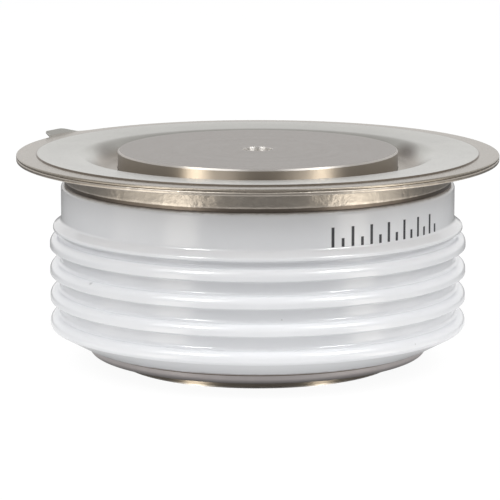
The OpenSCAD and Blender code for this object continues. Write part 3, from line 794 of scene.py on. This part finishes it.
ceramic_low, ceramic_high = box_mm("ceramic_housing")
weld_high = box_mm("upper_weld_ring")[1]
seal_low, seal_high = box_mm("lower_seal_ring")
RIB_R = ceramic_high.x
FLANGE_R = weld_high.x
CERAMIC_Z = ceramic_low.z
CERAMIC_TOP_Z = ceramic_high.z
SEAM_Z = weld_high.z
SEAL_R = seal_high.x
SHEET_T = 0.3
RIM_TOP_Z = SEAM_Z + SHEET_T
POLE_SEAT_R = 17.05
GATE_ANGLE = math.radians(118)
GATE_Z = CERAMIC_TOP_Z - 2.3
HOLE_COLUMNS = 64
print("rib radius", round(RIB_R, 2), "flange radius", round(FLANGE_R, 2), "seam at", round(SEAM_Z, 2))


def along_gate(name, section):
    """Turns a section round Z and lays it along the gate line, with its own Z pointing out of the part."""
    mesh = turned(name, section, HOLE_COLUMNS)
    mesh.transform(Matrix.Translation((0, 0, GATE_Z * MM)) @ Matrix.Rotation(GATE_ANGLE, 4, "Z")
                   @ Matrix.Rotation(math.pi / 2, 4, "Y"))
    return mesh


# %% [markdown]
# ## The ceramic ring
# The ribs make the way over the surface longer, so that no spark creeps from flange to flange. Each has a
# small lip below and a soft shoulder above, and the groove between two ribs is a flat with round corners.

# %% Ceramic section
RIB_PITCH = 3.2
RIB_H = 1.4
RIB_COUNT = 4
FIRST_LIP_Z = CERAMIC_Z + 2.05
GROOVE_R = RIB_R - 1.3
GROOVE_FILLET = 0.4
LIP_ROUND = 0.15
SHOULDER_ROUND = 0.85
TOP_GROOVE_H = 0.85
TOP_FILLET = 0.38
BORE_R = 19.2
FOOT_W = 2.3
BARREL_R = RIB_R - 1.4
COLLAR_R = BARREL_R + 1
END_ROUND = 0.5

last_lip_z = FIRST_LIP_Z + (RIB_COUNT - 1) * RIB_PITCH
corners = [(BORE_R, CERAMIC_Z, 0), (BORE_R + FOOT_W, CERAMIC_Z, END_ROUND / 2)]
for rib in range(RIB_COUNT):
    lip_z = FIRST_LIP_Z + rib * RIB_PITCH
    corners += [(RIB_R, lip_z, END_ROUND if rib == 0 else LIP_ROUND), (RIB_R, lip_z + RIB_H, SHOULDER_ROUND)]
    if rib < RIB_COUNT - 1:
        corners += [(GROOVE_R, lip_z + RIB_H, GROOVE_FILLET), (GROOVE_R, lip_z + RIB_PITCH, GROOVE_FILLET)]
collar_z = last_lip_z + RIB_H + TOP_GROOVE_H
corners += [
    (GROOVE_R, last_lip_z + RIB_H, TOP_FILLET), (GROOVE_R, collar_z, TOP_FILLET),
    (COLLAR_R, collar_z, LIP_ROUND), (COLLAR_R, collar_z + 0.4, 0.3),
    (BARREL_R, collar_z + 1.15, END_ROUND), (BARREL_R, CERAMIC_TOP_Z, END_ROUND),
    (BORE_R, CERAMIC_TOP_Z, 0),
]
ceramic_mesh = turned("fine_ceramic", closed_section(corners))
print("ceramic section:", len(corners), "corners")

# %% [markdown]
# The gate hole goes through the wall at an angle of its own, with a small flat round it for the eyelet. Both
# lie across the turned shape, so they are cut. The drill is a turned mesh too, laid along the gate line,
# and an exact Boolean takes it away from the ring.

# %% Gate hole and its flat
HOLE_R = 0.95
FLAT_R = 1.8
EYELET_X = BARREL_R - 0.4


def cut_with(mesh, tool_mesh):
    """Returns the mesh less the tool, by an exact Boolean."""
    body = add_object("to_cut", mesh)
    tool = add_object("tool", tool_mesh)
    modifier = body.modifiers.new("cut", "BOOLEAN")
    modifier.operation = "DIFFERENCE"
    modifier.solver = "EXACT"
    modifier.object = tool
    bpy.context.view_layer.update()
    result = bpy.data.meshes.new_from_object(body.evaluated_get(bpy.context.evaluated_depsgraph_get()))
    for item in (body, tool):
        bpy.data.objects.remove(item)
    smooth(result)
    return result


drill = closed_section([(0, BORE_R - 2, 0), (HOLE_R, BORE_R - 2, 0), (HOLE_R, EYELET_X, 0),
                        (FLAT_R, EYELET_X, 0), (FLAT_R, RIB_R + 1, 0), (0, RIB_R + 1, 0)])
ceramic_mesh = cut_with(ceramic_mesh, along_gate("drill", drill))
ceramic_mesh.name = "fine_ceramic"
glazed_ring = dress("glazed_ceramic_ring", ceramic_mesh, "glazed_alumina", "ceramic_housing")

# %% [markdown]
# Under the glaze's soft sheen the photo shows small crisp glints in the grooves. Two small bright lamps give
# them. They light the ceramic alone, and they are left out of its diffuse light, so only the gloss sees them.

# %% Glints in the glaze
GLINT_SIZE = (0.16, 0.26)
GLINT_POWER = 2.6

for side, azimuth in (("left", -42), ("right", 55)):
    glint = softbox(side + "_glint", azimuth, LAMP_ELEVATION, GLINT_SIZE, GLINT_POWER, only=(glazed_ring,))
    glint.visible_diffuse = False

# %% [markdown]
# ## The weld ring
# A Z-shaped ring of thin sheet carries the flange: its foot is brazed to the ceramic's top, its wall gives
# a little when the part is clamped, and its rim is the lower of the two sheets at the edge.

# %% Weld ring
WELD_T = 0.5
WALL_R = BARREL_R - 0.35
WELD_EDGE = 0.2


def round_edge(thickness, size, steps=5):
    """The round edge of a sheet, as how far each point lies inside the rim and how far below the face."""
    turns = [math.radians(90) * i / steps for i in range(1, steps + 1)]
    above = [(size * (1 - math.sin(turn)), size * (1 - math.cos(turn))) for turn in turns]
    return above + [(inside, thickness - below) for inside, below in reversed(above)]


upper, lower = sheet_faces([
    (WALL_R - 3.2, CERAMIC_TOP_Z + WELD_T, 0), (WALL_R - WELD_T, CERAMIC_TOP_Z + WELD_T, 0.25),
    (WALL_R - WELD_T, SEAM_Z, 0.75), (FLANGE_R - WELD_EDGE, SEAM_Z, 0)], WELD_T * MM)
edge = [Vector((FLANGE_R - inside, SEAM_Z - below)) * MM for inside, below in round_edge(WELD_T, WELD_EDGE)]
dress("weld_ring_sheet", turned("fine_weld_ring", upper + edge + lower[::-1]), "warm_nickel_sheet",
      "upper_weld_ring")

# %% [markdown]
# ## The diaphragm and its tab
# The upper sheet is pressed in rings: a moat beside the pole, an annulus that rises gently, and a small step
# down to the rim that is welded. A tab for a control lead grows out of the rim and is bent up. Each column
# of the swept mesh reaches to its own outer radius, so the tab and its fillets are part of the same mesh.

# %% Outline of the tab
TAB_ANGLE = math.radians(148)
TAB_TIP_HALF = 1.7
TAB_TIP_X = FLANGE_R + 1.15
NEAR_ROOT = 2.1
NEAR_END = NEAR_ROOT + 1.2
FAR_ROOT = NEAR_ROOT + 3.3
FAR_END = FAR_ROOT + 1.5
OUTLINE_STEP = 0.25 * MM
OVERLAP = 0.07


def rim_x(y):
    """How far the rim reaches along the tab, at a distance y beside it."""
    return math.sqrt(FLANGE_R ** 2 - y ** 2) - OVERLAP


def walk(points, step):
    """Adds points to a way, so that no stretch of it is longer than the step."""
    result = [points[0]]
    for a, b in zip(points, points[1:]):
        pieces = max(1, math.ceil((b - a).length / step))
        result += [a + (b - a) * i / pieces for i in range(1, pieces + 1)]
    return result


tab_corners = [
    (rim_x(FAR_END), -FAR_END, 0), (rim_x(FAR_ROOT), -FAR_ROOT, 6), (TAB_TIP_X, -TAB_TIP_HALF, 3),
    (TAB_TIP_X, TAB_TIP_HALF, 0.3), (rim_x(NEAR_ROOT), NEAR_ROOT, 0.6), (rim_x(NEAR_END), NEAR_END, 0)]
tab_way = walk(closed_section(tab_corners), OUTLINE_STEP)
tab_reach = [(math.atan2(p.y, p.x), max(p.length, FLANGE_R * MM)) for p in tab_way]
print("tab outline:", len(tab_reach), "points")

# %% [markdown]
# The tab is bent up over a small radius. How high a point of it lies follows from how far along the tab it
# is: level up to the bend, then a short arc, then a straight slope.

# %% Bend of the tab
TAB_BEND = math.radians(30)
BEND_X = (FLANGE_R + 0.1) * MM
BEND_R = 0.5 * MM


def tab_rise(x):
    """The height above the rim and the slope, at a distance x from the axis along the tab."""
    half_way = BEND_R * math.tan(TAB_BEND / 2)
    if x < BEND_X - half_way:
        return 0.0, 0.0
    into = x - BEND_X + half_way
    if into < BEND_R * math.sin(TAB_BEND):
        slope = math.asin(into / BEND_R)
        return BEND_R * (1 - math.cos(slope)), slope
    return (x - BEND_X) * math.tan(TAB_BEND), TAB_BEND


print("the tab's tip rises by", round(tab_rise(TAB_TIP_X * MM)[0] / MM, 2), "mm")

# %% [markdown]
# The face that shows is drawn with a crisp step, as the press tool leaves it, and the hidden one with a soft
# step. A column joins the two faces round the edge of the sheet, so the mesh closes on itself.

# %% Diaphragm
MOAT_Z = RIM_TOP_Z - 1.75
RIM_R = FLANGE_R - 2.45
RIM_STEP = 0.16
MOAT_R = 18.95
RIM_STATIONS = 16
SHEET_EDGE = 0.13
CREASE = 0.003

moat = [(POLE_SEAT_R, MOAT_Z, 0), (MOAT_R, MOAT_Z, 2.2), (MOAT_R + 2.3, RIM_TOP_Z + RIM_STEP - 0.28, 2.5)]
soft_step = [(RIM_R - RIM_STEP, RIM_TOP_Z + RIM_STEP, 0.4), (RIM_R + RIM_STEP, RIM_TOP_Z, 0.2)]
crisp_step = [(RIM_R - CREASE, RIM_TOP_Z + RIM_STEP, 0), (RIM_R + CREASE, RIM_TOP_Z, 0)]
rim_end = [(RIM_R + 0.6, RIM_TOP_Z, 0)]
lower = sheet_faces(moat + soft_step + rim_end, SHEET_T * MM)[1]
upper = sheet_faces(moat + crisp_step + rim_end, SHEET_T * MM)[0]
flat_start = upper[-1].x


def diaphragm_column(angle, reach):
    """The points of one column, where reach is the outer radius in its direction."""
    def spot(radius, depth):
        away = angle - TAB_ANGLE
        along, beside = radius * math.cos(away), radius * math.sin(away)
        rise, slope = tab_rise(along)
        along += depth * math.sin(slope)
        return Matrix.Rotation(TAB_ANGLE, 3, "Z") @ Vector(
            (along, beside, RIM_TOP_Z * MM + rise - depth * math.cos(slope)))

    flat_end = reach - SHEET_EDGE * MM
    radii = [flat_start + (flat_end - flat_start) * i / RIM_STATIONS for i in range(1, RIM_STATIONS + 1)]
    edge = [spot(reach - inside * MM, below * MM) for inside, below in round_edge(SHEET_T, SHEET_EDGE)]
    return (swung(upper, angle) + [spot(r, 0) for r in radii] + edge
            + [spot(r, SHEET_T * MM) for r in reversed(radii[:-1])] + swung(lower, angle)[::-1])


first, last = tab_reach[0][0], tab_reach[-1][0]
count = round(COLUMNS * (2 * math.pi - (last - first)) / (2 * math.pi))
columns = [diaphragm_column(TAB_ANGLE + angle, reach) for angle, reach in tab_reach]
for i in range(1, count):
    turn = last + (2 * math.pi - (last - first)) * i / count
    columns.append(diaphragm_column(TAB_ANGLE + turn, FLANGE_R * MM))
dress("diaphragm_sheet", grid_mesh("fine_diaphragm", columns), "nickel_sheet", "cathode_diaphragm")

# %% [markdown]
# ## The seal ring
# Under the ceramic lies a thick ring with a round lower edge. Only its outer face shows, as a narrow warm
# band above the foot of the lower pole.

# %% Seal ring
SEAL_ROUND = 0.65
seal_section = closed_section([(POLE_SEAT_R, seal_low.z, 0), (SEAL_R, seal_low.z, SEAL_ROUND),
                               (SEAL_R, CERAMIC_Z, 0), (POLE_SEAT_R, CERAMIC_Z, 0)])
SEAL = nickel_sheet("nickel_plated_seal", (0.35, 0.325, 0.32, 1), (0.44, 0.41, 0.405, 1), (0.34, 0.46))
dress("seal_ring_band", turned("fine_seal_ring", seal_section), "warm_nickel_sheet", "lower_seal_ring", SEAL)

# %% [markdown]
# ## Gate tube and eyelet
# The gate lead comes out at the back through a thin tube, whose end is swaged down on the lead. An eyelet
# with a small flange seals the tube to the ceramic.

# %% Gate tube and eyelet
TUBE_R = 0.9
TUBE_WALL = 0.3
TUBE_START_X = 19.0
NECK_X = 25.0
SWAGE_R = 0.7
SWAGE_X = 25.6
LEAD_R = 0.4
LEAD_TIP_X = 27.4
TUBE_TIP_X = 28.0
EYELET_R = 1.7
EYELET_T = 0.4
EYELET_NECK_R = 1.25
EYELET_L = 1.4

tube_section = closed_section([
    (TUBE_R - TUBE_WALL, TUBE_START_X, 0), (TUBE_R, TUBE_START_X, 0), (TUBE_R, NECK_X, 0.6),
    (SWAGE_R, SWAGE_X, 0.6), (SWAGE_R, TUBE_TIP_X, 0.3), (0, TUBE_TIP_X, 0), (0, LEAD_TIP_X, 0),
    (LEAD_R, LEAD_TIP_X, 0), (LEAD_R, SWAGE_X, 0), (TUBE_R - TUBE_WALL, NECK_X, 0)])
dress("gate_tube_pin", along_gate("fine_gate_tube", tube_section), "nickel_sheet", "gate_tube")
eyelet_section = closed_section([
    (HOLE_R, EYELET_X, 0), (EYELET_R, EYELET_X, 0), (EYELET_R, EYELET_X + EYELET_T, 0.1),
    (EYELET_NECK_R, EYELET_X + EYELET_T, 0.3), (EYELET_NECK_R, EYELET_X + EYELET_L, 0.1),
    (HOLE_R, EYELET_X + EYELET_L, 0)])
dress("gate_eyelet_flange", along_gate("fine_gate_eyelet", eyelet_section), "warm_nickel_sheet",
      "gate_eyelet")

# %% [markdown]
# ## Braze fillets
# Molten braze creeps into the corner between metal and ceramic and freezes as a small hollow fillet. At the
# weld ring's foot and above the seal ring it shows as a thin dark brown line.

# %% Braze fillets
FOOT_BEND_R = 0.75
FILLET_SAG = 0.8


def hollow_fillet(foot, top, sag, steps=8):
    """The points of a hollow curve from the foot to the top, which sags towards their common corner."""
    corner = Vector((top.x, foot.y))
    middle = (foot + top) / 2 + (corner - (foot + top) / 2) * sag
    shares = [i / steps for i in range(steps + 1)]
    return [foot * (1 - t) ** 2 + middle * 2 * t * (1 - t) + top * t ** 2 for t in shares]


bend_centre = Vector((WALL_R - FOOT_BEND_R, CERAMIC_TOP_Z + FOOT_BEND_R)) * MM
bend_points = [bend_centre + FOOT_BEND_R * MM * Vector((math.cos(a), math.sin(a)))
               for a in (math.radians(-25 - 65 * i / 8) for i in range(9))]
upper_foot = Vector((BARREL_R - 0.46, CERAMIC_TOP_Z)) * MM
upper_fillet = hollow_fillet(upper_foot, bend_points[0], FILLET_SAG) + bend_points[1:]
lower_foot = Vector((SEAL_R + 0.42, CERAMIC_Z)) * MM
lower_top = Vector((SEAL_R, CERAMIC_Z - 0.3)) * MM
lower_fillet = hollow_fillet(lower_foot, lower_top, FILLET_SAG) + [Vector((SEAL_R, CERAMIC_Z)) * MM]
BRAZE = nickel_sheet("nickel_plated_braze", (0.14, 0.115, 0.095, 1), (0.26, 0.22, 0.18, 1), (0.28, 0.44))
dress("upper_braze_fillet", turned("fine_upper_braze", upper_fillet), "warm_nickel_sheet", material=BRAZE)
dress("lower_braze_fillet", turned("fine_lower_braze", lower_fillet), "warm_nickel_sheet", material=BRAZE)

# %% [markdown]
# ## Ink marks
# Such a part carries a few ink-jet marks on the plain band of its ceramic. Here they are a plain scale of
# bars, which says nothing. Each bar is a thin closed patch that bends with the ceramic: its inner face lies
# a little under the glaze and its outer face a hair above it.

# %% Ink
def ink():
    """Matt black, a little uneven where the drops ran together."""
    material, tree, surface, height = finish("ink", 0.004 * MM)
    drops = place(tree, HANDLING, Patch=0.9 * MM, Streak=0.12 * MM)
    tone = blend(tree, drops["Haze"], (0.012, 0.012, 0.016, 1), (0.05, 0.05, 0.06, 1))
    fill(tree, surface, {"Base Color": tone, "Roughness": spread(tree, drops["Streaks"], 0.35, 0.60)})
    tree.links.new(drops["Streaks"], height)
    return material


# %% [markdown]
# The bars stand at even angles on one line, long and short in turn, as on a ruler.

# %% Ink marks
MARK_COUNT = 14
FIRST_MARK = 21
MARK_STEP = 3.05
MARK_ANGLES = [math.radians(FIRST_MARK + MARK_STEP * i - 90) for i in range(MARK_COUNT)]
MARK_W = 0.36
MARK_LOW = 17.5
MARK_TALL = 2.6
MARK_SHORT = 1.3
MARK_DEPTHS = (BARREL_R - 0.02, BARREL_R + 0.015)

work = bmesh.new()
half_width = MARK_W / BARREL_R / 2
for i, middle in enumerate(MARK_ANGLES):
    top = MARK_LOW + (MARK_SHORT if i % 2 else MARK_TALL)
    shell = []
    for reach in MARK_DEPTHS:
        for angle, z in ((middle - half_width, MARK_LOW), (middle + half_width, MARK_LOW),
                         (middle + half_width, top), (middle - half_width, top)):
            shell.append(work.verts.new(Vector((reach * math.cos(angle), reach * math.sin(angle), z)) * MM))
    inside, outside = shell[:4], shell[4:]
    work.faces.new(inside[::-1])
    work.faces.new(outside)
    for a in range(4):
        b = (a + 1) % 4
        work.faces.new((inside[a], inside[b], outside[b], outside[a]))
marks_mesh = bpy.data.meshes.new("fine_marks")
work.to_mesh(marks_mesh)
work.free()
dress("ink_marks", marks_mesh, "glazed_alumina", material=ink())

# %% The end
print("the end")
